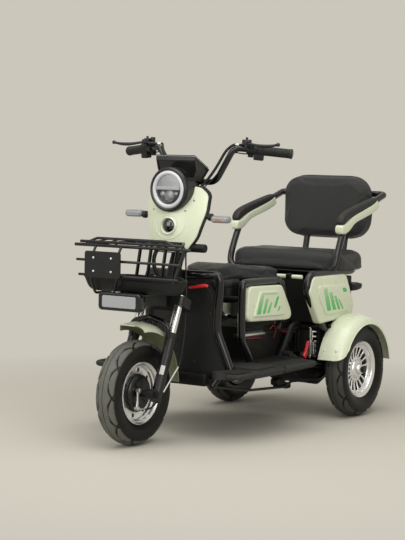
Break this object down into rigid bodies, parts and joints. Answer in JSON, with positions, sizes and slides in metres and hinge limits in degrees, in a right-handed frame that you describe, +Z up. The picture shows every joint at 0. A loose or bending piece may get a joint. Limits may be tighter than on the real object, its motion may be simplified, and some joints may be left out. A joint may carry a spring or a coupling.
{
  "type": "three-wheeled electric scooter",
  "caption": "Electric three-wheeled scooter with steered front wheel, front basket, saddle, rear bench with armrests and backrest, and rear fenders.",
  "frame": {"origin": "on the floor under the middle of the machine's length and width", "axes": "+X to the rider's left, -Y forward, +Y towards the backrest, +Z up"},
  "size_m": [0.7226, 1.5469, 1.0601],
  "materials": {
    "black_frame": "satin black paint",
    "chrome": "polished chrome",
    "cream_green": "pale cream-green gloss plastic",
    "gloss_black_tube": "gloss black stove enamel",
    "lamp_body": "black lamp housing",
    "lamp_lens": "clear lamp lens",
    "matte_black": "fine-grained matte black plastic",
    "red_lens": "red lamp lens",
    "rubber": "black moulded rubber",
    "seat_vinyl": "grained black vinyl",
    "silver_alloy": "bright silver alloy",
    "steel_black": "dark cast and painted steel",
    "tyre": "black tyre rubber"
  },
  "bodies": {
    "chassis": {"main_frame": "black_frame", "saddle_frame": "gloss_black_tube", "bench_frame": "gloss_black_tube", "leg_shield": "matte_black", "leg_shield_tube": "gloss_black_tube", "floor_pan": "matte_black", "running_boards": "matte_black", "battery_box": "matte_black", "storage_box": "matte_black", "saddle_shroud": "matte_black", "saddle_covers": "cream_green", "bench_covers": "cream_green", "rear_axle": "steel_black", "rear_springs": "black_frame", "rear_fenders": "cream_green", "bench_cushion": "seat_vinyl", "backrest_frame": "black_frame", "armrest_loop": "gloss_black_tube", "backrest_pad": "seat_vinyl", "armrest_covers": "cream_green", "armrest_pads": "rubber", "brake_rod": "black_frame", "tail_lamps": "red_lens"},
    "steering": {"fork_sliders": "black_frame", "fork_tubes": "chrome", "front_axle": "chrome", "brake_plate": "steel_black", "fork_yoke": "black_frame", "handlebar": "gloss_black_tube", "grips": "rubber", "hand_controls": "matte_black", "headlight_lens": "lamp_lens", "headlight_shell": "lamp_body", "front_panel": "cream_green", "panel_backing": "matte_black", "badge_dome": "chrome", "turn_signals": "lamp_body", "dash_cover": "matte_black", "front_fender": "cream_green", "fork_brace": "gloss_black_tube", "basket_pan": "matte_black", "basket": "black_frame", "basket_sides": "black_frame", "basket_back": "black_frame", "basket_straps": "black_frame", "plate_bracket": "matte_black", "position_lamp": "lamp_body"},
    "front_wheel": {"front_rim": "silver_alloy", "front_tyre": "tyre"},
    "rear_wheel_left": {"rear_rim_left": "silver_alloy", "rear_tyre_left": "tyre"},
    "rear_wheel_right": {"rear_rim_right": "silver_alloy", "rear_tyre_right": "tyre"},
    "saddle_lid": {"saddle": "seat_vinyl"}
  },
  "joints": [
    {"name": "steering_turn", "type": "hinge", "parent": "chassis", "child": "steering", "pos_m": [0, -0.5325, 0.181], "axis": [0, 0.3843, 0.9232], "range_deg": [-38, 38]},
    {"name": "front_wheel_spin", "type": "hinge", "parent": "steering", "child": "front_wheel", "pos_m": [0, -0.5925, 0.181], "axis": [1, 0, 0], "continuous": true},
    {"name": "rear_wheel_left_spin", "type": "hinge", "parent": "chassis", "child": "rear_wheel_left", "pos_m": [0.283, 0.4605, 0.181], "axis": [1, 0, 0], "continuous": true},
    {"name": "rear_wheel_right_spin", "type": "hinge", "parent": "chassis", "child": "rear_wheel_right", "pos_m": [-0.283, 0.4605, 0.181], "axis": [1, 0, 0], "continuous": true},
    {"name": "saddle_hinge", "type": "hinge", "parent": "chassis", "child": "saddle_lid", "pos_m": [0, -0.1925, 0.515], "axis": [1, 0, 0], "range_deg": [0, 70]}
  ]
}
